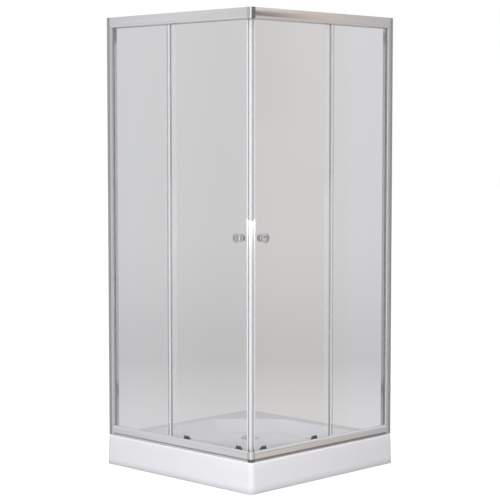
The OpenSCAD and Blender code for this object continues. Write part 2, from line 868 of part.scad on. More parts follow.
// A rubber saddle over the running rib, where the rear upper roller ends its travel
module door_stop() {
    s0 = rear_s + door_travel + cap_r + run_gap;
    z0 = upper_axle_z - rib_drop - rib_h + fit_gap;
    z1 = upper_axle_z + 8;
    difference() {
        span([s0, plate_w + 0.5, z0], [s0 + 12, inner_w - fit_gap, z1]);
        span([s0 - cut, wheel_mid - rib_w / 2 - run_gap, z0 - cut],
             [s0 + 12 + cut, wheel_mid + rib_w / 2 + run_gap, z0 + rib_h + run_gap]);
    }
}

module door_stops() {
    color(DARK) union() {
        left_side() door_stop();
        right_side() door_stop();
    }
}

module door_glass() {
    difference() {
        span([door_s, door_w, door_z], [door_s + door_l, door_w + glass_t, door_top]);
        for (p = roller_places) inward(p.x, door_w - cut, p.y, glass_hole_r, glass_t + 2 * cut);
        inward(knob_s, door_w - cut, knob_z, glass_hole_r, glass_t + 2 * cut);
    }
}

// Outline of the magnet seal: a grip on the glass, a neck, and a mitred chamber for the magnet
module magnet_section() {
    grip_w0 = door_w - seal_t - fit_gap;
    grip_w1 = door_w + glass_t + fit_gap + seal_t;
    face = run_gap;
    neck_s = door_s - magnet_neck - seal_t;
    difference() {
        polygon([
            [magnet_w0 + face, magnet_w0], [neck_s, magnet_w0], [neck_s, grip_w0 + neck_dip],
            [neck_s + magnet_neck, grip_w0 + neck_dip], [neck_s + magnet_neck, grip_w0],
            [door_s + magnet_grip, grip_w0], [door_s + magnet_grip, grip_w1], [door_s + 1, grip_w1],
            [magnet_w1 + face, magnet_w1]
        ]);
        flat([door_s - fit_gap, door_w - fit_gap], [door_s + magnet_grip + cut, door_w + glass_t + fit_gap]);
        magnet_pocket(fit_gap);
    }
}

// The magnet lies just behind the mitred face
module magnet_pocket(grow) {
    mid = (magnet_w0 + magnet_w1) / 2 + magnet_skin * 0.8;
    translate([mid + run_gap, mid]) rotate([0, 0, -45])
        flat([magnet_skin - grow, -magnet_half - grow], [magnet_skin + magnet_t + grow, magnet_half + grow]);
}

module magnet_seal() {
    upright(seal_z, seal_top) magnet_section();
}

module magnet_strip() {
    upright(seal_z + 0.5, seal_top - 0.5) magnet_pocket(0);
}

// A clear strip on the door's rear edge, whose fin wipes the fixed glass
module rear_seal() {
    end = door_s + door_l;
    w0 = door_w - seal_t;
    w1 = door_w + glass_t + seal_t;
    tip_w = fixed_w + glass_t + run_gap;
    upright(seal_z, seal_top) union() {
        difference() {
            flat([end - magnet_grip, w0], [end + seal_t, w1]);
            flat([end - magnet_grip - cut, door_w - fit_gap], [end + fit_gap, door_w + glass_t + fit_gap]);
        }
        polygon([
            [end + seal_t - 0.2, w0 + 2], [end + seal_t - 0.2, w0], [end + 3.4, w0 - 3], [end + 4.6, tip_w],
            [end + 5.6, tip_w], [end + 4.6, w0 - 2.6]
        ]);
    }
}

// A round knob: its base on the glass, its waist and its crowned head
module knob() {
    reach = knob_reach;
    base_r = knob_base_d / 2;
    head_r = knob_d / 2;
    waist_r = base_r * 0.5;
    rim = reach - 6;
    crown_r = (head_r * head_r + 9) / 6;
    crown_a = asin((head_r - 2) / crown_r);
    rotate_extrude($fn = 96) difference() {
        polygon(concat(
            [[0, fit_gap], [base_r, fit_gap], [base_r, 2], [base_r - 1, 3]],
            arc([waist_r + 6, 9.4], 6, 250, 180, 6),
            arc([waist_r + 8, rim - 8.2], 8, 180, 110, 6),
            [[head_r - 1.2, rim], [head_r, rim + 1.2], [head_r, rim + 2.6], [head_r - 0.6, rim + 3.4]],
            [for (i = [0:6]) let (a = crown_a * (1 - i / 6))
                [crown_r * sin(a), reach - crown_r * (1 - cos(a))]]
        ));
        flat([-1, -1], [knob_bore, reach * 0.6]);
    }
}

// The low round cap inside the glass, which holds the knob's stud
module inner_cap() {
    r = inner_cap_d / 2;
    round_r = inner_cap_t * 0.4;
    rotate_extrude($fn = 96) difference() {
        polygon(concat(
            [[0, fit_gap], [r, fit_gap]],
            arc([r - round_r, inner_cap_t - round_r], round_r, 0, 90, 5),
            [[0, inner_cap_t]]
        ));
        flat([-1, -1], [knob_bore, inner_cap_t - cap_skin]);
    }
}

module knobs() {
    translate([knob_s, door_w, knob_z]) rotate([90, 0, 0]) knob();
    translate([knob_s, door_w + glass_t, knob_z]) rotate([-90, 0, 0]) inner_cap();
}

// The threaded stud that joins the knob and its cap, with its sleeve in the glass
module knob_stud() {
    out = knob_reach * 0.5;
    in = inner_cap_t - 1.3 * cap_skin;
    inward(knob_s, door_w - out, knob_z, knob_bore - fit_gap, out + glass_t + in);
    inward(knob_s, door_w + 0.5, knob_z, glass_hole_r - fit_gap, glass_t - 1);
}

// A round cap outside the glass, with a dished middle and a pointed tab
module roller_cap(at) {
    dish_r = cap_r - 5;
    face = door_w - 2 * fit_gap;
    translate([at.x, face, at.y]) rotate([90, 0, 0]) difference() {
        union() {
            rotate_extrude($fn = 96) polygon([
                [0, 0], [cap_r, 0], [cap_r, cap_t - 1.4], [cap_r - 0.5, cap_t - 0.5], [cap_r - 1.6, cap_t],
                [dish_r + 0.8, cap_t], [dish_r, cap_t - 0.9], [0, cap_t - 0.9]
            ]);
            linear_extrude(cap_t - 1) polygon([
                [cap_r * 0.42, cap_r * 0.86], [cap_r * 0.66, cap_r * tab_reach], [cap_r * 0.78, cap_r * 0.54]
            ]);
        }
        translate([0, 0, -cut]) cylinder(h = cut + 2, r = bolt_r + fit_gap, $fn = 48);
    }
}

module roller_caps() {
    for (p = roller_places) roller_cap(p);
}

// The bolt runs from the cap through the glass to the plate
module roller_bolt(at) {
    from = door_w - 2 * fit_gap - 1.9;
    inward(at.x, from, at.y, bolt_r, plate_w - from + hub_t);
}

module roller_axle(at) {
    from = plate_w + plate_t - hub_t;
    inward(at.x, from, at.y, axle_r, head_w - from + 0.2);
    inward(at.x, head_w, at.y, axle_r + 1.5, head_t);
}

module upper_rollers() {
    for (p = [roller_places[2], roller_places[3]]) {
        roller_bolt(p);
        inward(p.x, plate_w, p.y, plate_r, plate_t, 96);
        inward(p.x, plate_w + plate_t - hub_t, p.y, axle_r + 3, 2 * hub_t);
        roller_axle(p);
    }
}

// A lower roller's plate, with the two guides in which its carrier slides up by the release travel
module lower_housing(at) {
    low = at.y - carrier_low - 1;
    high = at.y + carrier_high + release_travel - 2;
    roller_bolt(at);
    inward(at.x, plate_w, at.y, plate_r, housing_t, 96);
    for (side = [-1, 1]) {
        a = at.x + side * (guide_half + run_gap);
        b = a + side * guide_t;
        span([min(a, b), plate_w + housing_t - 0.2, low], [max(a, b), plate_w + plate_t, high]);
    }
}

module lower_housings() {
    lower_housing(roller_places[0]);
    lower_housing(roller_places[1]);
}

// The sprung slide that holds a lower wheel down on its rib, with its release tab
module carrier(at) {
    w0 = plate_w + housing_t + run_gap;
    w1 = plate_w + plate_t;
    tab_z = wheel_r + run_gap;
    translate([at.x, 0, at.y]) {
        span([-guide_half, w0, -carrier_low], [guide_half, w1, carrier_high]);
        span([-tab_w / 2, w0, carrier_high - 0.5], [tab_w / 2, w1, tab_z + tab_t]);
        span([-tab_w / 2, w1 - 0.5, tab_z], [tab_w / 2, w1 + tab_out, tab_z + tab_t]);
    }
    roller_axle(at);
}

// A flanged wheel with its running groove
module wheel(at) {
    flange = 0.9;
    groove = 1.7;
    translate([at.x, wheel_w, at.y]) rotate([-90, 0, 0]) rotate_extrude($fn = 96) polygon([
        [axle_r + axle_gap, 0], [wheel_r, 0], [wheel_r, flange], [groove_r, groove],
        [groove_r, wheel_t - groove], [wheel_r, wheel_t - flange], [wheel_r, wheel_t],
        [axle_r + axle_gap, wheel_t]
    ]);
}

module left_door_glass() { color(GLASS) left_side() door_glass(); }
module left_magnet_seal() { color(WHITE) left_side() magnet_seal(); }
module left_magnet_strip() { color(DARK) left_side() magnet_strip(); }
module left_rear_seal() { color(CLEAR) left_side() rear_seal(); }
module left_knobs() { color(CHROME) left_side() knobs(); }
module left_knob_stud() { color(STEEL) left_side() knob_stud(); }
module left_roller_caps() { color(DARK) left_side() roller_caps(); }
module left_upper_rollers() { color(DARK) left_side() upper_rollers(); }
module left_lower_housings() { color(DARK) left_side() lower_housings(); }
module left_front_carrier() { color(DARK) left_side() carrier(roller_places[0]); }
module left_rear_carrier() { color(DARK) left_side() carrier(roller_places[1]); }
module left_upper_front_wheel() { color(WHITE) left_side() wheel(roller_places[2]); }
module left_upper_rear_wheel() { color(WHITE) left_side() wheel(roller_places[3]); }
module left_lower_front_wheel() { color(WHITE) left_side() wheel(roller_places[0]); }
module left_lower_rear_wheel() { color(WHITE) left_side() wheel(roller_places[1]); }

module right_door_glass() { color(GLASS) right_side() door_glass(); }
module right_magnet_seal() { color(WHITE) right_side() magnet_seal(); }
module right_magnet_strip() { color(DARK) right_side() magnet_strip(); }
module right_rear_seal() { color(CLEAR) right_side() rear_seal(); }
module right_knobs() { color(CHROME) right_side() knobs(); }
module right_knob_stud() { color(STEEL) right_side() knob_stud(); }
module right_roller_caps() { color(DARK) right_side() roller_caps(); }
module right_upper_rollers() { color(DARK) right_side() upper_rollers(); }
module right_lower_housings() { color(DARK) right_side() lower_housings(); }
module right_front_carrier() { color(DARK) right_side() carrier(roller_places[0]); }
module right_rear_carrier() { color(DARK) right_side() carrier(roller_places[1]); }
module right_upper_front_wheel() { color(WHITE) right_side() wheel(roller_places[2]); }
module right_upper_rear_wheel() { color(WHITE) right_side() wheel(roller_places[3]); }
module right_lower_front_wheel() { color(WHITE) right_side() wheel(roller_places[0]); }
module right_lower_rear_wheel() { color(WHITE) right_side() wheel(roller_places[1]); }

tray_shell();
tray_board();
leg_brackets();
leg_studs();
leg_nuts();
leg_feet();
waste_grate();
waste_flange();
waste_gasket();
trap_body();
left_wall_profile();
left_jamb_profile();
left_top_rail();
left_bottom_rail();
left_fixed_glass();
left_glass_gasket();
left_edge_seal();
right_wall_profile();
right_jamb_profile();
right_top_rail();
right_bottom_rail();
right_fixed_glass();
right_glass_gasket();
right_edge_seal();
top_corner_connector();
bottom_corner_connector();
corner_foot();
connector_screws();
frame_screws();
door_stops();
left_door_glass();
left_magnet_seal();
left_magnet_strip();
left_rear_seal();
left_knobs();
left_knob_stud();
left_roller_caps();
left_upper_rollers();
left_lower_housings();
left_front_carrier();
left_rear_carrier();
left_upper_front_wheel();
left_upper_rear_wheel();
left_lower_front_wheel();
left_lower_rear_wheel();
right_door_glass();
right_magnet_seal();
right_magnet_strip();
right_rear_seal();
right_knobs();
right_knob_stud();
right_roller_caps();
right_upper_rollers();
right_lower_housings();
right_front_carrier();
right_rear_carrier();
right_upper_front_wheel();
right_upper_rear_wheel();
right_lower_front_wheel();
right_lower_rear_wheel();
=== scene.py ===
"""Looks of a corner shower enclosure: finishes, smooth tray and knobs, studio and camera."""
import json
import math

import bmesh
import bpy
import numpy as np
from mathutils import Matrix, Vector


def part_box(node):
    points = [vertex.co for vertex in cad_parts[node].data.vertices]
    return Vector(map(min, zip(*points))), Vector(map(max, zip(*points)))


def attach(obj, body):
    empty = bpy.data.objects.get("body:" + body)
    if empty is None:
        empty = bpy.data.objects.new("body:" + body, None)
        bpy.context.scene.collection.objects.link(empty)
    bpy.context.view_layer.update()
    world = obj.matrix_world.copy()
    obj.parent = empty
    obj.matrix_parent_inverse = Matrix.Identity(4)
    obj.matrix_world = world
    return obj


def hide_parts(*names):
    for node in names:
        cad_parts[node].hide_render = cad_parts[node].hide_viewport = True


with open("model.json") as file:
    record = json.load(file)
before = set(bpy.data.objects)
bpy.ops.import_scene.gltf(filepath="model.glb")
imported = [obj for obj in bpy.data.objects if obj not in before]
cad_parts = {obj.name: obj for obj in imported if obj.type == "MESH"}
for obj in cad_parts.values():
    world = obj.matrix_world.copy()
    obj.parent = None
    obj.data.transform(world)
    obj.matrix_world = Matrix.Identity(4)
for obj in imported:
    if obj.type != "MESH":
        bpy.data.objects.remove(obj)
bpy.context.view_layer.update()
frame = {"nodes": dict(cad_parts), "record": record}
SIDES = ("left", "right")
MM = 0.001

# Places of the construction, in metres: the corner is that of the two glass sides' outer faces
TRAY_LOW, TRAY_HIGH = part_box("tray_shell")
TRAY_TOP = TRAY_HIGH.z
TRAY_HALF = TRAY_HIGH.x
FRAME_SETBACK = 15 * MM
CORNER = TRAY_HALF - FRAME_SETBACK
RAIL_FOOT_TOP = TRAY_TOP + 12 * MM
TOP_RAIL_FACE = (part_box("left_top_rail")[0].z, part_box("left_top_rail")[1].z)
DRAIN = (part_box("waste_flange")[0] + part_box("waste_flange")[1]) / 2

# The tray's own sizes: the construction's, but for a rounder edge on the basin and a floor that falls to
# the drain
TRAY_WALL = 4 * MM
SKIRT_DRAFT = 4 * MM
SKIRT_EDGE_R = 8 * MM
TRAY_CORNER_R = 22 * MM
RIM_WIDTH = 78 * MM
DECK_LEG = 220 * MM
BASIN_DEPTH = 52 * MM
BASIN_LEAN = 38 * MM
BASIN_CORNER_R = 45 * MM
BASIN_EDGE_R = 6 * MM
FLOOR_R = 18 * MM
FLOOR_FALL = 2.5 * MM
DRAIN_HOLE_R = 24 * MM
WALL_LIP = 34 * MM
SKIRT_RETURN = 60 * MM

# A knob's head, base and waist, the arcs between them, and how high or low each arc's middle lies
KNOB_R = 20.5 * MM
KNOB_HEAD_H = 6 * MM
KNOB_CROWN = 3 * MM
KNOB_RIM_R = 1.4 * MM
KNOB_RIM_RISE = 1.5 * MM
KNOB_BASE_R = 17.5 * MM
KNOB_BASE_H = 1.9 * MM
KNOB_BASE_EDGE_R = 1.2 * MM
KNOB_WAIST_R = 8.8 * MM
LOWER_WAIST_ARC_R = 6 * MM
LOWER_WAIST_H = 9.4 * MM
UPPER_WAIST_ARC_R = 8 * MM
UPPER_WAIST_DROP = 8.2 * MM

# The low cap inside a door, and the foot that it shares with the knob, just off the glass
CAP_R = 15.5 * MM
CAP_EDGE_R = 2.4 * MM
CAP_CROWN = 0.4 * MM
FOOT_GAP = 0.1 * MM
FOOT_BEVEL = 0.3 * MM

# Aluminium's two shades, the height of its die lines, and how far a crowned face leans at its edges
ALUMINIUM_DIM = (0.70, 0.705, 0.715)
ALUMINIUM_BRIGHT = (0.80, 0.805, 0.81)
DIE_LINE = 0.015 * MM
CROWN_LEAN = 0.05

# The seals' stretches across their sections, in metres, and the plastic zones on them: where each starts,
# its colour and how much of the glass behind it covers. The two dark zones are painted shade, where the
# seals' necks and the glass edges behind them lie in shade.
CLEAR, PAINTED_SHADE_DARK, PAINTED_SHADE_GREY = (0.88, 0.88, 0.90), (0.37, 0.37, 0.395), (0.45, 0.45, 0.465)
PEARL, MILKY, WHITE = (0.73, 0.73, 0.755), (0.78, 0.78, 0.81), (0.86, 0.86, 0.885)
EDGE_SEAL_REACH = (0.46, 0.54)
EDGE_ZONES = [(0.46, CLEAR, 0.08), (0.4853, PAINTED_SHADE_DARK, 0.90), (0.4888, WHITE, 0.85), (0.4953, CLEAR, 0.02)]
MAGNET_SEAL_REACH = (-0.03, 0.03)
MAGNET_ZONES = [(-0.03, CLEAR, 0.12), (-0.0245, PEARL, 1.0), (-0.0176, PAINTED_SHADE_DARK, 1.0), (-0.0108, MILKY, 1.0),
                (0.0058, PAINTED_SHADE_GREY, 1.0), (0.0152, WHITE, 1.0), (0.0215, CLEAR, 0.12)]
ZONE_BLUR = 0.8 * MM

# Camera, fitted to the photograph: places in metres, angles in degrees, lens and sensor in millimetres
CAMERA_DISTANCE = 6.934
CAMERA_ACROSS = -0.0566
CAMERA_HEIGHT = 1.4648
CAMERA_YAW = 0.467
CAMERA_PITCH = 4.241
CAMERA_LENS = 113.69
SENSOR = 36.0

# Brightness of the room's own light
ROOM_LIGHT = 0.46

# The backdrop that shows through glass: its grey from low to high, and its tint from left to right
BACKDROP_LOW, BACKDROP_HIGH, BACKDROP_REACH = -0.20, 0.08, 0.09
BACKDROP_GREY = [(0.0, 0.662), (0.09, 0.644), (0.145, 0.598), (0.20, 0.543), (0.26, 0.551), (0.37, 0.598),
                 (0.48, 0.628), (1.0, 0.650)]
BACKDROP_TINT = [(0.0, (0.96, 0.96, 0.98)), (0.13, (1.0, 1.0, 1.015)), (0.44, (0.955, 0.95, 0.955)),
                 (0.56, (0.98, 0.962, 0.955)), (0.63, (1.005, 0.985, 0.97)), (0.82, (1.01, 0.995, 0.985)),
                 (0.92, (1.05, 1.04, 1.07))]

# The studio as polished faces see it. Each side's rails mirror a narrow strip of it: its places run from
# the strip's near end to its far end, high for the top rails and low for the bottom ones.
LEFT_HIGH = [(0.0, (0.74, 0.71, 0.72)), (0.35, (0.88, 0.86, 0.88)), (0.7, (0.80, 0.78, 0.81)),
             (0.88, (0.68, 0.66, 0.69)), (1.0, (0.78, 0.76, 0.77))]
LEFT_LOW = [(0.0, (0.80, 0.79, 0.79)), (0.5, (0.84, 0.83, 0.85)), (0.8, (0.69, 0.69, 0.71)),
            (0.90, (0.60, 0.60, 0.62)), (1.0, (0.72, 0.72, 0.72))]
RIGHT_HIGH = [(0.0, (0.74, 0.70, 0.68)), (0.25, (0.86, 0.71, 0.62)), (0.6, (0.84, 0.71, 0.62)),
              (0.85, (0.62, 0.60, 0.62)), (1.0, (0.58, 0.57, 0.60))]
RIGHT_LOW = [(0.0, (0.74, 0.68, 0.68)), (0.3, (0.74, 0.66, 0.60)), (0.6, (0.65, 0.60, 0.54)),
             (1.0, (0.52, 0.52, 0.55))]
# Before the corner, from the left strip's near end round to the right one's, with a lit window between
FRONT = [(0.0, (0.62, 0.60, 0.61)), (0.04, (0.55, 0.54, 0.55)), (0.07, (1.5, 1.48, 1.5)),
         (0.48, (1.5, 1.48, 1.5)), (0.56, (0.88, 0.86, 0.88)), (0.8, (0.98, 0.95, 0.95)),
         (1.0, (0.88, 0.84, 0.83))]
# Everywhere else, from straight down to straight up
OPEN_ROOM = [(0.0, (0.92, 0.92, 0.93)), (0.30, (0.84, 0.84, 0.85)), (0.42, (0.56, 0.55, 0.57)),
             (0.52, (0.44, 0.43, 0.44)), (0.64, (0.80, 0.80, 0.81)), (1.0, (0.90, 0.90, 0.91))]
# A dark brown shape stands by the right strip's near end and reaches round to the front
SHADOW = (0.26, 0.225, 0.217)
ABOVE_SHADOW = (0.86, 0.84, 0.83)
WARM_FLOOR = (0.72, 0.67, 0.64)
LOW_BEHIND = (0.34, 0.34, 0.36)

# How far these parts reach, each from the start to the end of its soft edge. Along a side and up they are
# sines, from the side's near end and from level, from left to right the direction's x plus y, and on a strip
# or on the front they are shares of it.
STRIP_ALONG = (-0.01, 0.10)
LOW_TO_HIGH = (-0.16, 0.04)
LEFT_TO_RIGHT = (-0.3, 0.3)
FRONT_ENDS = (-0.08, -0.03)
STRIPS_END = (0.14, 0.30)
STRIPS_LEVEL = (0.25, 0.45)
SHADOW_FOOT = (0.0, 0.015)
SHADOW_TOP = (0.09, 0.11)
SHADOW_ON_STRIP = (0.33, 0.45)
SHADOW_ON_FRONT = (0.58, 0.66)
PALE_ABOVE = (0.10, 0.125)
WARM_FLOOR_TOP = (-0.4, -0.1)
BEHIND = (0.25, 0.7)
BEHIND_TOP = (0.05, 0.5)


class Wire:
    """A number, colour or vector in a node tree. Arithmetic on it adds Math nodes."""

    def __init__(self, tree, socket):
        self.tree = tree
        self.socket = socket

    def math(self, operation, *others):
        node = self.tree.nodes.new("ShaderNodeMath")
        node.operation = operation
        for place, value in zip(node.inputs, (self, *others)):
            plug(self.tree, place, value)
        return Wire(self.tree, node.outputs[0])

    def __add__(self, other):
        return self.math("ADD", other)

    __radd__ = __add__

    def __mul__(self, other):
        return self.math("MULTIPLY", other)

    __rmul__ = __mul__

    def __sub__(self, other):
        return self.math("SUBTRACT", other)

    def __rsub__(self, other):
        return (self * -1.0) + other


def plug(tree, place, value):
    """Links a wire to a socket, or sets the socket's own value."""
    if isinstance(value, Wire):
        tree.links.new(value.socket, place)
    elif isinstance(value, (tuple, list)) and len(value) == 3 and len(place.default_value) == 4:
        place.default_value = (*value, 1.0)
    else:
        place.default_value = value


class Tree:
    """The nodes of one material or of the world."""

    def __init__(self, owner):
        owner.use_nodes = True
        self.tree = owner.node_tree
        self.tree.nodes.clear()

    def node(self, kind, settings=None, inputs=None, out=0):
        """Adds a node of a kind, with its settings, a ramp's stops and its sockets' values or wires."""
        node = self.tree.nodes.new("ShaderNode" + kind)
        for key, value in (settings or {}).items():
            if key == "stops":
                set_stops(node.color_ramp, value)
            else:
                setattr(node, key, value)
        for key, value in (inputs or {}).items():
            plug(self.tree, node.inputs[key], value)
        return Wire(self.tree, node.outputs[out])

    def coords(self):
        return self.node("TexCoord", out="Object")

    def direction(self):
        """The direction in which the world is looked at."""
        return self.node("TexCoord", out="Generated")

    def ray(self, kind):
        """1 for rays of a kind, such as Is Camera Ray, and 0 for the others."""
        return self.node("LightPath", out=kind)

    def split(self, vector):
        """The X, Y and Z of a vector, as three wires."""
        node = self.tree.nodes.new("ShaderNodeSeparateXYZ")
        plug(self.tree, node.inputs[0], vector)
        return [Wire(self.tree, socket) for socket in node.outputs]

    def height(self):
        """How high a place lies above the floor."""
        return self.split(self.coords())[2]

    def stretched(self, scale):
        return self.node("Mapping", {}, {"Vector": self.coords(), "Scale": scale})

    def noise(self, scale, detail=3.0, rough=0.5, stretch=None):
        where = self.coords() if stretch is None else self.stretched(stretch)
        inputs = {"Vector": where, "Scale": scale, "Detail": detail, "Roughness": rough}
        return self.node("TexNoise", {}, inputs)

    def flakes(self, where, scale):
        """A random shade for each cell of a cracked pattern."""
        cells = self.node("TexVoronoi", {"feature": "F1"}, {"Vector": where, "Scale": scale}, "Color")
        return self.split(cells)[0]

    def ramp(self, place, stops):
        """A colour that changes evenly from one stop to the next."""
        return self.node("ValToRGB", {"stops": stops}, {"Fac": place})

    def mix_colour(self, factor, a, b, blend="MIX"):
        inputs = {0: factor, 6: a, 7: b}
        return self.node("Mix", {"data_type": "RGBA", "blend_type": blend}, inputs, out=2)

    def mix_shader(self, factor, a, b):
        return self.node("MixShader", {}, {0: factor, 1: a, 2: b})

    def between(self, value, low, high, to_low, to_high):
        """Carries a value from one range to another, held at both ends."""
        inputs = {"Value": value, "From Min": low, "From Max": high, "To Min": to_low, "To Max": to_high}
        return self.node("MapRange", {}, inputs)

    def rise(self, value, low, high):
        """Goes from 0 to 1 while a value goes from low to high."""
        return self.between(value, low, high, 0.0, 1.0)

    def fall(self, value, low, high):
        """Goes from 1 to 0 while a value goes from low to high."""
        return self.between(value, low, high, 1.0, 0.0)

    def spread(self, noise, to_low, to_high):
        """Carries the range in which nearly all of a noise lies to another."""
        return self.between(noise, 0.3, 0.7, to_low, to_high)

    def bump(self, height, distance, strength=1.0):
        return self.node("Bump", {}, {"Height": height, "Distance": distance, "Strength": strength})

    def surface(self, shader):
        output = self.tree.nodes.new("ShaderNodeOutputMaterial")
        plug(self.tree, output.inputs["Surface"], shader)

    def principled(self, **inputs):
        named = {key.replace("_", " "): value for key, value in inputs.items()}
        return self.node("BsdfPrincipled", {}, named)


def set_stops(ramp, stops):
    """Sets a colour ramp's stops from a list of places and colours."""
    while len(ramp.elements) < len(stops):
        ramp.elements.new(1.0)
    for element, (place, colour) in zip(ramp.elements, stops):
        element.position = place
        element.color = (*colour, 1.0)


def steps(stops, soft):
    """Turns a list of zones' starts and colours into a ramp's stops, each change softened over a width."""
    made = [stops[0]]
    for (_, before), (place, after) in zip(stops, stops[1:]):
        made += [(place - soft / 2, before), (place + soft / 2, after)]
    return made


def material(name):
    made = bpy.data.materials.new(name)
    return made, Tree(made)


def acrylic():
    """White sanitary acrylic: a clean gloss and faintly wavy, with a painted highlight where the rim's edge
    rolls over.
    """
    made, t = material("white_acrylic")
    cloud = t.noise(3.0, 2.0)
    colour = t.mix_colour(cloud, (0.80, 0.79, 0.825), (0.83, 0.82, 0.855))
    x, y, z = t.split(t.coords())
    outwards = x.math("ABSOLUTE").math("MAXIMUM", y.math("ABSOLUTE"))
    # Painted highlight: the colour turns near white along the rim's rolled outer edge, where light would
    # catch it.
    painted_rim_highlight = t.rise(outwards, CORNER, CORNER + 2 * MM) * t.rise(z, TRAY_TOP - 6 * MM, TRAY_TOP - 2 * MM)
    colour = t.mix_colour(painted_rim_highlight, colour, (0.97, 0.965, 0.985))
    rough = t.spread(t.noise(14.0, 4.0), 0.10, 0.17)
    ripple = t.noise(22.0, 1.0)
    t.surface(t.principled(Base_Color=colour, Roughness=rough, IOR=1.49,
                           Normal=t.bump(ripple, 0.0002, 0.35)))
    return made


def chipboard():
    """Pressed chips: flat flakes of many browns, with a rough face."""
    made, t = material("raw_chipboard")
    shade = t.flakes(t.stretched((1, 1.7, 3)), 210.0)
    colour = t.ramp(shade, [(0.0, (0.30, 0.19, 0.10)), (0.5, (0.52, 0.38, 0.22)), (1.0, (0.70, 0.56, 0.37))])
    t.surface(t.principled(Base_Color=colour, Roughness=t.between(shade, 0, 1, 0.62, 0.85),
                           Normal=t.bump(shade, 0.0006, 0.7)))
    return made


def extrusion(name, grain, foot=None, painted_shade_tone=1.0, crown=None):
    """Bright satin aluminium: die lines run along the extrusion, with a soft anodised cloud.

    A bottom rail's foot, which stands back under the bead, is rougher and has painted shade in its colour:
    a painted shadow just under the bead and a paler painted reflection of the tray by the tray, in the foot's
    two colours. A top rail's face is faintly crowned between two heights: its normal leans by CROWN_LEAN at
    either edge, as the slope of a parabola does.
    """
    made, t = material(name)
    # The tone darkens this copy of the aluminium: painted shade on the uprights.
    dim, bright = (tuple(painted_shade_tone * part for part in shade) for shade in (ALUMINIUM_DIM, ALUMINIUM_BRIGHT))
    along = {"x": (0.6, 60, 60), "y": (60, 0.6, 60), "z": (60, 60, 0.6)}[grain]
    lines = t.noise(12.0, 4.0, 0.7, stretch=along)
    cloud = t.noise(5.0, 2.0)
    colour = t.mix_colour(t.spread(lines, 0, 1), dim, bright)
    rough = t.spread(lines, 0.07, 0.13) + t.spread(cloud, -0.02, 0.02)
    relief = lines * DIE_LINE
    # Painted shade on a bottom rail's foot: a painted shadow under the bead, turning into a paler painted
    # reflection of the tray near the tray.
    if foot:
        height = t.height()
        painted_bead_shade = t.fall(height, RAIL_FOOT_TOP - 1 * MM, RAIL_FOOT_TOP + 0.5 * MM)
        painted_tray_reflection = t.fall(height, TRAY_TOP + 3 * MM, TRAY_TOP + 6 * MM)
        colour = t.mix_colour(painted_bead_shade, colour, t.mix_colour(painted_tray_reflection, *foot))
        rough = rough + painted_bead_shade * 0.35
    if crown:
        low, high = crown
        off_middle = t.height() - (low + high) / 2
        relief = relief - off_middle * off_middle * (CROWN_LEAN / (high - low))
    t.surface(t.principled(Base_Color=colour, Metallic=1.0, Roughness=rough, Normal=t.bump(relief, 1.0)))
    return made


def chrome():
    """Polished chrome plate, with faint wipe marks in its gloss."""
    made, t = material("polished_chrome")
    wipe = t.noise(40.0, 4.0, 0.6, stretch=(1, 1, 3))
    colour = t.mix_colour(wipe, (0.56, 0.565, 0.57), (0.61, 0.615, 0.62))
    t.surface(t.principled(Base_Color=colour, Metallic=1.0, Roughness=t.between(wipe, 0.3, 0.75, 0.04, 0.11)))
    return made


def zinc_steel():
    """Bright zinc on steel, with its blotched crystals."""
    made, t = material("zinc_steel")
    shade = t.flakes(t.coords(), 420.0)
    colour = t.mix_colour(shade, (0.50, 0.51, 0.53), (0.66, 0.67, 0.69))
    t.surface(t.principled(Base_Color=colour, Metallic=1.0, Roughness=t.between(shade, 0, 1, 0.26, 0.42)))
    return made


def moulded(name, dark, light, rough):
    """Moulded plastic or rubber: two near colours in a soft cloud, and a fine spark-eroded grain."""
    made, t = material(name)
    cloud = t.noise(26.0, 3.0)
    speck = t.noise(900.0, 2.0, 0.6)
    colour = t.mix_colour(t.spread(cloud, 0, 1), dark, light)
    roughness = t.spread(speck, rough - 0.06, rough + 0.08)
    t.surface(t.principled(Base_Color=colour, Roughness=roughness, Normal=t.bump(speck, 0.00006, 0.6)))
    return made


def seal(name, place, reach_m, zones):
    """A soft profile of clear and white plastic at once, in zones across its section, with painted shade in
    its dark zones where its necks and the glass edges behind them lie in shade.

    place gives the coordinate that runs across the section, and reach_m the stretch that it covers.
    """
    made, t = material(name)
    low, high = reach_m
    width = high - low
    lines = t.noise(10.0, 3.0, 0.6, stretch=(90, 90, 0.12))
    across = t.rise(place(t), low, high)
    colours = [((start - low) / width, colour) for start, colour, _ in zones]
    covers = [((start - low) / width, (cover,) * 3) for start, _, cover in zones]
    colour = t.ramp(across, steps(colours, ZONE_BLUR / width))
    cover = t.ramp(across, steps(covers, ZONE_BLUR / width))
    colour = t.mix_colour(t.spread(lines, 0, 0.03), colour, (1.0, 1.0, 1.0))
    t.surface(t.principled(Base_Color=colour, Roughness=t.spread(lines, 0.16, 0.26), IOR=1.45,
                           Alpha=t.split(cover)[0]))
    return made


def from_corner(t):
    """How far along its side a place lies from the corner of the two glass sides' outer faces."""
    x, y, _ = t.split(t.coords())
    return CORNER - x.math("MINIMUM", -1.0 * y)


def across_corner(t):
    """How far a place lies from the diagonal through the corner, less than 0 on the left side."""
    x, y, _ = t.split(t.coords())
    return x + y


def glass():
    """Toughened glass: clear through its faces, with grey-green ground edges and a trace of wave."""
    made, t = material("clear_glass")
    wave = t.noise(2.2, 1.0)
    nx, ny, _ = t.split(t.node("TexCoord", out="Normal"))
    edge = t.fall(nx.math("ABSOLUTE").math("MAXIMUM", ny.math("ABSOLUTE")), 0.5, 0.9)
    colour = t.mix_colour(edge, (0.965, 0.970, 0.972), (0.50, 0.60, 0.57))
    rough = t.spread(wave, 0.0, 0.015) + edge * 0.25
    body = t.principled(Base_Color=colour, Roughness=rough, IOR=1.45, Transmission_Weight=1.0)
    through = t.node("BsdfTransparent", {}, {"Color": (0.995, 0.995, 0.995)})
    t.surface(t.mix_shader(t.ray("Is Shadow Ray"), body, through))
    return made


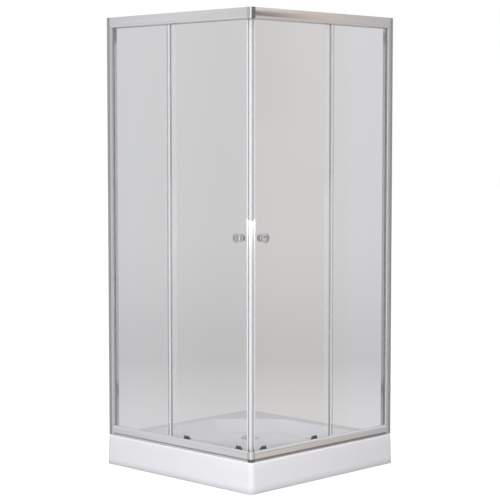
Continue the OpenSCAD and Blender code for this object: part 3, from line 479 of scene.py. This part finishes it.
def ring(points, radius, count=24):
    """Outline of a convex polygon with its corners rounded.

    Each corner is an arc about the polygon's own corner moved inwards by the radius; the arcs run between
    the outward normals of the two sides that meet there.
    """
    points = np.asarray(points, float)
    before = points - np.roll(points, 1, axis=0)
    after = np.roll(points, -1, axis=0) - points
    outward = [np.stack([d[:, 1], -d[:, 0]], 1) / np.linalg.norm(d, axis=1)[:, None] for d in (before, after)]
    half = outward[0] + outward[1]
    half /= np.linalg.norm(half, axis=1)[:, None]
    centre = points - half * (radius / np.sum(half * outward[0], axis=1))[:, None]
    start = np.arctan2(outward[0][:, 1], outward[0][:, 0])
    turn = np.mod(np.arctan2(outward[1][:, 1], outward[1][:, 0]) - start, 2 * np.pi)
    angle = start[:, None] + turn[:, None] * np.linspace(0, 1, count)[None]
    return (centre[:, None] + radius * np.stack([np.cos(angle), np.sin(angle)], 2)).reshape(-1, 2)


def reach(outline, angles):
    """Distance from the middle to a closed outline in each direction, with straight lines between points."""
    closed = np.vstack([outline, outline[:1]])
    share = np.linspace(0, 1, 400, endpoint=False)[None, :, None]
    fine = closed[:-1, None] * (1 - share) + closed[1:, None] * share
    fine = fine.reshape(-1, 2)
    around = np.arctan2(fine[:, 1], fine[:, 0])
    order = np.argsort(around)
    distance = np.linalg.norm(fine, axis=1)[order]
    return np.interp(angles, around[order], distance, period=2 * np.pi)


def polar(angles, distance):
    """Points at a distance from the middle in each direction."""
    return np.stack([np.cos(angles), np.sin(angles)], 1) * distance[:, None]


def grid_mesh(name, rows, closed=True, smooth=True):
    """A mesh from an array of points, rows by columns, with a quad between each four neighbours."""
    count_v, count_u = rows.shape[:2]
    index = np.arange(count_v * count_u).reshape(count_v, count_u)
    right = np.roll(index, -1, axis=1) if closed else index[:, 1:]
    left = index if closed else index[:, :-1]
    quads = np.stack([left[:-1], right[:-1], right[1:], left[1:]], -1).reshape(-1, 4)
    mesh = bpy.data.meshes.new(name)
    mesh.from_pydata(rows.reshape(-1, 3).tolist(), [], quads.tolist())
    mesh.update()
    mesh.polygons.foreach_set("use_smooth", np.full(len(mesh.polygons), smooth))
    made = bpy.data.objects.new(name, mesh)
    bpy.context.scene.collection.objects.link(made)
    return made


def square(half):
    return [(half, -half), (half, half), (-half, half), (-half, -half)]


def basin_plan(inset):
    """The basin's outline, drawn in by an inset: a square with the deck's corner cut off."""
    half = TRAY_HALF - RIM_WIDTH - inset
    leg = DECK_LEG - (2 - math.sqrt(2)) * inset
    return [(half, -half), (half, half), (leg - half, half), (-half, half - leg), (-half, -half)]


def tray_angles():
    """Directions round the tray's middle, closest together where an outline turns a corner."""
    tray_corners = [math.radians(a) for a in (-135, -45, 45, 135)]
    basin_corners = [math.atan2(y, x) for x, y in basin_plan(0.0)]
    near = [corner + np.linspace(-0.11, 0.11, 41) for corner in basin_corners + tray_corners]
    nearest = [corner + np.linspace(-0.03, 0.03, 31) for corner in tray_corners]
    every = np.concatenate([np.linspace(-np.pi, np.pi, 300, endpoint=False), *near, *nearest])
    return np.unique(np.round(np.mod(every + np.pi, 2 * np.pi) - np.pi, 4))


def skirt_foot(outline):
    """Height of the skirt's lower edge: down to the floor in front, a short lip along the two walls."""
    x, y = outline[:, 0], outline[:, 1]
    span = TRAY_HALF - SKIRT_RETURN
    ease = 3 * MM
    on_left = np.clip((span - np.abs(y)) / ease, 0, 1) * (x < -TRAY_HALF + TRAY_CORNER_R)
    on_back = np.clip((span - np.abs(x)) / ease, 0, 1) * (y > TRAY_HALF - TRAY_CORNER_R)
    wall = np.maximum(on_left, on_back)
    return TRAY_LOW.z + wall * (TRAY_TOP - WALL_LIP - TRAY_LOW.z)


def tray_surface():
    """The tray's upper skin as one sheet: skirt, rounded rim, basin wall, floor and the drain's edge.

    Every level is a closed outline in the same directions round the middle. The skirt leans in with height,
    a quarter circle turns over the rim's outer edge, an arc over its inner edge, another turns the wall into
    the floor, and the floor's levels run in straight lines from its outline to the drain's circle.
    """
    angles = tray_angles()
    levels = []

    def level(flat, z):
        levels.append(np.column_stack([flat, np.broadcast_to(z, len(flat))]))

    def outer(inset):
        return polar(angles, reach(ring(square(TRAY_HALF - inset), TRAY_CORNER_R - inset), angles))

    def basin(inset):
        radius = BASIN_CORNER_R - 0.3 * inset
        return polar(angles, reach(ring(basin_plan(inset), radius), angles))

    foot = skirt_foot(outer(0.0))
    for share in np.linspace(0, 1, 5):
        height = foot + share * (TRAY_TOP - SKIRT_EDGE_R - foot)
        lean = SKIRT_DRAFT * (height - TRAY_LOW.z) / (TRAY_TOP - TRAY_LOW.z)
        flat = polar(angles, reach(ring(square(TRAY_HALF), TRAY_CORNER_R), angles) - lean)
        level(flat, height)
    for a in np.linspace(0, np.pi / 2, 8)[1:]:
        inset = SKIRT_DRAFT + SKIRT_EDGE_R * (1 - np.cos(a))
        level(outer(inset), TRAY_TOP - SKIRT_EDGE_R * (1 - np.sin(a)))
    rim_outer = outer(SKIRT_DRAFT + SKIRT_EDGE_R)
    rim_inner = basin(-BASIN_EDGE_R * 0.5)
    for share in np.linspace(0, 1, 5)[1:-1]:
        level(rim_outer * (1 - share) + rim_inner * share, TRAY_TOP)
    slope = math.atan2(BASIN_DEPTH, BASIN_LEAN)
    for a in np.linspace(0, slope, 7):
        level(basin(BASIN_EDGE_R * (np.sin(a) - 0.5)), TRAY_TOP - BASIN_EDGE_R * (1 - np.cos(a)))
    floor_z = TRAY_TOP - BASIN_DEPTH
    toe = FLOOR_R * math.tan(slope / 2)
    for a in np.linspace(slope, 0, 9):
        inset = BASIN_LEAN + toe - FLOOR_R * np.sin(a)
        level(basin(inset), floor_z + FLOOR_FALL + FLOOR_R * (1 - np.cos(a)))
    floor_edge = basin(BASIN_LEAN + toe)
    hole = polar(angles, np.full(len(angles), DRAIN_HOLE_R)) + np.array([DRAIN.x, DRAIN.y])
    for share in np.linspace(0, 1, 12)[1:]:
        level(floor_edge * (1 - share) + hole * share, floor_z + FLOOR_FALL * (1 - share))
    return grid_mesh("tray_skin", np.array(levels))


def thicken(piece, thickness):
    """Gives a sheet its wall, on the side away from its normals."""
    solid = piece.modifiers.new("wall", "SOLIDIFY")
    solid.thickness = thickness
    solid.offset = -1.0
    solid.use_even_offset = True


def revolved(name, profile, centre, axis, count=96):
    """A closed turned shape: each profile point, a radius and a height, is carried round the axis."""
    axis = Vector(axis).normalized()
    across = axis.orthogonal().normalized()
    other = axis.cross(across)
    angle = np.linspace(0, 2 * np.pi, count, endpoint=False)
    around = np.outer(np.cos(angle), across) + np.outer(np.sin(angle), other)
    rows = profile[:, 0][:, None, None] * around[None] + profile[:, 1][:, None, None] * np.array(axis)
    return grid_mesh(name, rows + np.array(centre))


def arc_points(centre, radius, start, end, count):
    """Points of an arc in degrees, as radius and height."""
    angle = np.radians(np.linspace(start, end, count))
    return np.column_stack([centre[0] + radius * np.cos(angle), centre[1] + radius * np.sin(angle)])


def foot_points(radius):
    """Points from a turned piece's middle across its foot and up a small bevel."""
    return [(0.0, FOOT_GAP), (radius - FOOT_BEVEL, FOOT_GAP), (radius, FOOT_GAP + FOOT_BEVEL)]


def knob_profile(height):
    """A knob's outline from its middle on the glass, over the base, the waist and the crowned head.

    The crown is an arc that rises by KNOB_CROWN over the radius of the head, so its own radius is
    (head squared + rise squared) / (2 rise).
    """
    rim = height - KNOB_HEAD_H
    lower_waist = (KNOB_WAIST_R + LOWER_WAIST_ARC_R, LOWER_WAIST_H)
    upper_waist = (KNOB_WAIST_R + UPPER_WAIST_ARC_R, rim - UPPER_WAIST_DROP)
    crown_r = (KNOB_R ** 2 + KNOB_CROWN ** 2) / (2 * KNOB_CROWN)
    lean = np.linspace(math.asin((KNOB_R - KNOB_RIM_R) / crown_r), 0, 12)
    return np.vstack([
        foot_points(KNOB_BASE_R),
        arc_points((KNOB_BASE_R - KNOB_BASE_EDGE_R, KNOB_BASE_H), KNOB_BASE_EDGE_R, 0, 90, 6),
        arc_points(lower_waist, LOWER_WAIST_ARC_R, 262, 180, 10),
        arc_points(upper_waist, UPPER_WAIST_ARC_R, 180, 100, 12),
        arc_points((KNOB_R - KNOB_RIM_R, rim + KNOB_RIM_RISE), KNOB_RIM_R, -90, 62, 10),
        np.column_stack([crown_r * np.sin(lean), height - crown_r * (1 - np.cos(lean))]),
    ])


def cap_profile(height):
    """A low cap's outline from its middle on the glass, round its rolled edge and over a faint crown."""
    edge = CAP_R - CAP_EDGE_R
    share = np.linspace(1, 0, 10)[1:]
    return np.vstack([
        foot_points(CAP_R),
        arc_points((edge, height - CAP_CROWN - CAP_EDGE_R), CAP_EDGE_R, 0, 90, 10),
        np.column_stack([edge * share, height - CAP_CROWN * share ** 2]),
    ])


def close_poles(piece):
    """Joins a turned shape's points at its poles and turns its faces outwards."""
    shape = bmesh.new()
    shape.from_mesh(piece.data)
    bmesh.ops.remove_doubles(shape, verts=shape.verts, dist=1e-6)
    bmesh.ops.recalc_face_normals(shape, faces=shape.faces)
    shape.to_mesh(piece.data)
    shape.free()


FINISH = {
    "acrylic": acrylic(),
    "chipboard": chipboard(),
    "zinc_steel": zinc_steel(),
    "chrome": chrome(),
    "glass": glass(),
    "rubber": moulded("soft_rubber", (0.030, 0.030, 0.032), (0.055, 0.055, 0.058), 0.62),
    "grey_gasket": moulded("grey_gasket", (0.29, 0.29, 0.295), (0.34, 0.34, 0.345), 0.50),
    "black_plastic": moulded("black_plastic", (0.028, 0.028, 0.030), (0.045, 0.045, 0.048), 0.45),
    "dark_plastic": moulded("dark_grey_plastic", (0.090, 0.090, 0.096), (0.130, 0.131, 0.138), 0.30),
    "white_plastic": moulded("white_plastic", (0.72, 0.72, 0.72), (0.80, 0.80, 0.79), 0.38),
    "magnet": moulded("magnet_strip", (0.10, 0.09, 0.09), (0.16, 0.15, 0.15), 0.7),
    "clear_seal": seal("clear_seal", from_corner, EDGE_SEAL_REACH, EDGE_ZONES),
    "white_seal": seal("white_seal", across_corner, MAGNET_SEAL_REACH, MAGNET_ZONES),
}
ALUMINIUM = {
    "left_top_rail": extrusion("aluminium_along_x", "x", crown=TOP_RAIL_FACE),
    "right_top_rail": extrusion("aluminium_along_y", "y", crown=TOP_RAIL_FACE),
    # Each bottom rail's two foot colours are painted shade: a dark painted shadow under the bead and a paler
    # painted reflection of the tray, darker on the right.
    "left_bottom_rail": extrusion("aluminium_left_foot", "x", ((0.40, 0.40, 0.40), (0.84, 0.84, 0.84))),
    "right_bottom_rail": extrusion("aluminium_right_foot", "y", ((0.28, 0.265, 0.27), (0.48, 0.46, 0.47))),
    # The uprights' tones are painted shade: darker copies of the one aluminium, darkest on the wall profiles.
    "left_wall_profile": extrusion("aluminium_left_wall", "z", painted_shade_tone=0.60),
    "right_wall_profile": extrusion("aluminium_right_wall", "z", painted_shade_tone=0.59),
    "left_jamb_profile": extrusion("aluminium_left_jamb", "z", painted_shade_tone=0.90),
    "right_jamb_profile": extrusion("aluminium_right_jamb", "z", painted_shade_tone=0.86),
}


def give_finish(piece, finish):
    """Leaves a piece with one finish all over."""
    piece.data.materials.clear()
    piece.data.materials.append(finish)


def dress(piece, finish):
    """Gives a new piece its finish."""
    give_finish(piece, finish)


def dress_frame():
    """Gives every node of the construction the finish of its material slot, and each extrusion its own."""
    for row in frame["record"]["subparts"]:
        node, slot = row["node"], row["material_slot"]
        finish = ALUMINIUM[node] if slot == "satin_aluminium" else FINISH[slot]
        if node.endswith("_glass_gasket"):
            finish = FINISH["grey_gasket"]
        give_finish(frame["nodes"][node], finish)


def place_tray():
    """The smooth tray, in place of the construction's faceted one."""
    tray = tray_surface()
    thicken(tray, TRAY_WALL)
    dress(tray, FINISH["acrylic"])
    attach(tray, "root")
    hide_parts("tray_shell")


def place_knobs():
    """A turned knob outside each door and a low cap inside it, on the stud's axis."""
    for side in SIDES:
        stud_low, stud_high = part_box(side + "_knob_stud")
        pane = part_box(side + "_door_glass")
        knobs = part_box(side + "_knobs")
        outward = Vector((0, -1, 0)) if side == "left" else Vector((1, 0, 0))
        axis, outer = (1, 0) if side == "left" else (0, 1)
        turned = (("outer_knob", knob_profile, outer, 1), ("inner_cap", cap_profile, 1 - outer, -1))
        for word, profile, end, way in turned:
            centre = (stud_low + stud_high) / 2
            centre[axis] = pane[end][axis]
            height = abs(knobs[end][axis] - pane[end][axis])
            knob = revolved(f"{side}_{word}", profile(height), centre, outward * way)
            close_poles(knob)
            dress(knob, FINISH["chrome"])
            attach(knob, side + "_door")
            if way == 1:
                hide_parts(side + "_knobs")


def mirrored_studio(t):
    """What polished faces see in each direction: a strip on either side, a front, and a room dark behind.

    The sine of the angle from a side's near end is (y - x) / sqrt(2), and across the front it is
    (x + y) / sqrt(2); the sine of the height is z. The strips fade into the open room over the angles that
    no rail mirrors.
    """
    x, y, z = t.split(t.direction())
    along = (y - x) * math.sqrt(0.5)
    place = t.rise(along, *STRIP_ALONG)
    high = t.rise(z, *LOW_TO_HIGH)
    on_right = t.rise(x + y, *LEFT_TO_RIGHT)
    shadow = t.rise(z, *SHADOW_FOOT) * t.fall(z, *SHADOW_TOP)

    left = t.mix_colour(high, t.ramp(place, LEFT_LOW), t.ramp(place, LEFT_HIGH))
    right = t.mix_colour(high, t.ramp(place, RIGHT_LOW), t.ramp(place, RIGHT_HIGH))
    near_right = t.fall(place, *SHADOW_ON_STRIP)
    right = t.mix_colour(near_right * t.rise(z, *PALE_ABOVE), right, ABOVE_SHADOW)
    right = t.mix_colour(shadow * near_right, right, SHADOW)
    strips = t.mix_colour(on_right, left, right)

    across = t.rise((x + y) * math.sqrt(0.5), -1.0, 1.0)
    front = t.mix_colour(shadow * t.rise(across, *SHADOW_ON_FRONT), t.ramp(across, FRONT), SHADOW)

    open_room = t.ramp(t.rise(z, -1.0, 1.0), OPEN_ROOM)
    open_room = t.mix_colour(on_right * t.fall(z, *WARM_FLOOR_TOP), open_room, WARM_FLOOR)
    open_room = t.mix_colour(t.rise(along, *BEHIND) * t.fall(z, *BEHIND_TOP), open_room, LOW_BEHIND)

    seen = t.mix_colour(t.fall(along, *FRONT_ENDS), strips, front)
    off_level = t.rise(z.math("ABSOLUTE"), *STRIPS_LEVEL)
    return t.mix_colour(t.rise(along, *STRIPS_END).math("MAXIMUM", off_level), seen, open_room)


def backdrop(t):
    """The pale studio behind the glass, by the sine of its height and by how far across it lies."""
    x, y, z = t.split(t.direction())
    height = t.rise(z, BACKDROP_LOW, BACKDROP_HIGH)
    across = t.rise((x + y) * math.sqrt(0.5), -BACKDROP_REACH, BACKDROP_REACH)
    grey = t.ramp(height, [(place, (shade,) * 3) for place, shade in BACKDROP_GREY])
    return t.mix_colour(1.0, grey, t.ramp(across, BACKDROP_TINT), "MULTIPLY")


def room():
    """White to the camera, grey through the glass, a painted studio to metal, and soft light to the rest."""
    world = bpy.data.worlds.new("studio")
    bpy.context.scene.world = world
    t = Tree(world)
    light = t.mix_colour(t.ray("Is Glossy Ray"), (ROOM_LIGHT,) * 3, mirrored_studio(t))
    seen = t.mix_colour(t.ray("Is Transmission Ray"), light, backdrop(t))
    colour = t.mix_colour(t.ray("Is Camera Ray"), seen, (1.0, 1.0, 1.0))
    output = t.tree.nodes.new("ShaderNodeOutputWorld")
    plug(t.tree, output.inputs["Surface"], t.node("Background", {}, {"Color": colour, "Strength": 1.0}))


def floor():
    """A pale floor that shows as white, with the object's soft shadow, and is open to glass and metal."""
    half = 30.0
    rows = np.array([[(-half, -half, 0), (half, -half, 0)], [(-half, half, 0), (half, half, 0)]], float)
    made = grid_mesh("floor", rows, closed=False, smooth=False)
    finish, t = material("pale_floor")
    colour = t.mix_colour(t.noise(60.0, 3.0), (0.29, 0.29, 0.29), (0.31, 0.31, 0.31))
    lit = t.node("BsdfDiffuse", {}, {"Color": colour})
    glow = t.node("Emission", {}, {"Color": (0.90, 0.90, 0.90), "Strength": 1.0})
    shown = t.node("AddShader", {}, {0: lit, 1: glow})
    plain = t.node("BsdfDiffuse", {}, {"Color": (0.85, 0.85, 0.85)})
    open_way = t.node("BsdfTransparent", {}, {"Color": (1.0, 1.0, 1.0)})
    mirrored = t.ray("Is Glossy Ray").math("MAXIMUM", t.ray("Is Transmission Ray"))
    t.surface(t.mix_shader(t.ray("Is Camera Ray"), t.mix_shader(mirrored, plain, open_way), shown))
    give_finish(made, finish)


def lamp(name, place, aim, size, power):
    """A soft box of a width and height, turned to a point. Only its light is seen, never the box."""
    data = bpy.data.lights.new(name, "AREA")
    data.shape = "RECTANGLE"
    data.size, data.size_y = size
    data.energy = power
    made = bpy.data.objects.new(name, data)
    made.location = place
    made.rotation_euler = (Vector(aim) - Vector(place)).to_track_quat("-Z", "Y").to_euler()
    made.visible_camera = made.visible_glossy = made.visible_transmission = False
    bpy.context.scene.collection.objects.link(made)


def lamps():
    """Two tall soft boxes before the two glass sides, a wide one above, and a small one over the basin."""
    lamp("left_soft_box", (1.2, -4.6, 2.0), (0.2, -0.2, 0.7), (2.2, 3.0), 75)
    lamp("right_soft_box", (2.9, -1.9, 1.6), (0.2, -0.2, 0.7), (1.6, 2.4), 32)
    lamp("top_soft_box", (1.2, -1.2, 4.4), (0, 0, 0), (3.2, 3.2), 28)
    lamp("basin_soft_box", (0.30, -0.30, 1.2), (-0.15, 0.15, 0.1), (0.5, 0.5), 1.4)


def camera():
    """Stands before the entry corner, near the diagonal, at the photograph's angle."""
    diagonal = Vector((1, -1, 0)).normalized()
    across = Vector((1, 1, 0)).normalized()
    yaw, pitch = math.radians(CAMERA_YAW), math.radians(CAMERA_PITCH)
    level = -diagonal * math.cos(yaw) + across * math.sin(yaw)
    forward = level * math.cos(pitch) - Vector((0, 0, 1)) * math.sin(pitch)
    data = bpy.data.cameras.new("camera")
    data.lens = CAMERA_LENS
    data.sensor_width = SENSOR
    data.clip_end = 100
    made = bpy.data.objects.new("camera", data)
    made.location = diagonal * CAMERA_DISTANCE + across * CAMERA_ACROSS + Vector((0, 0, CAMERA_HEIGHT))
    made.rotation_euler = forward.to_track_quat("-Z", "Y").to_euler()
    bpy.context.scene.collection.objects.link(made)
    bpy.context.scene.camera = made


dress_frame()
place_tray()
place_knobs()
room()
floor()
lamps()
camera()
bpy.context.scene.view_settings.view_transform = "Standard"
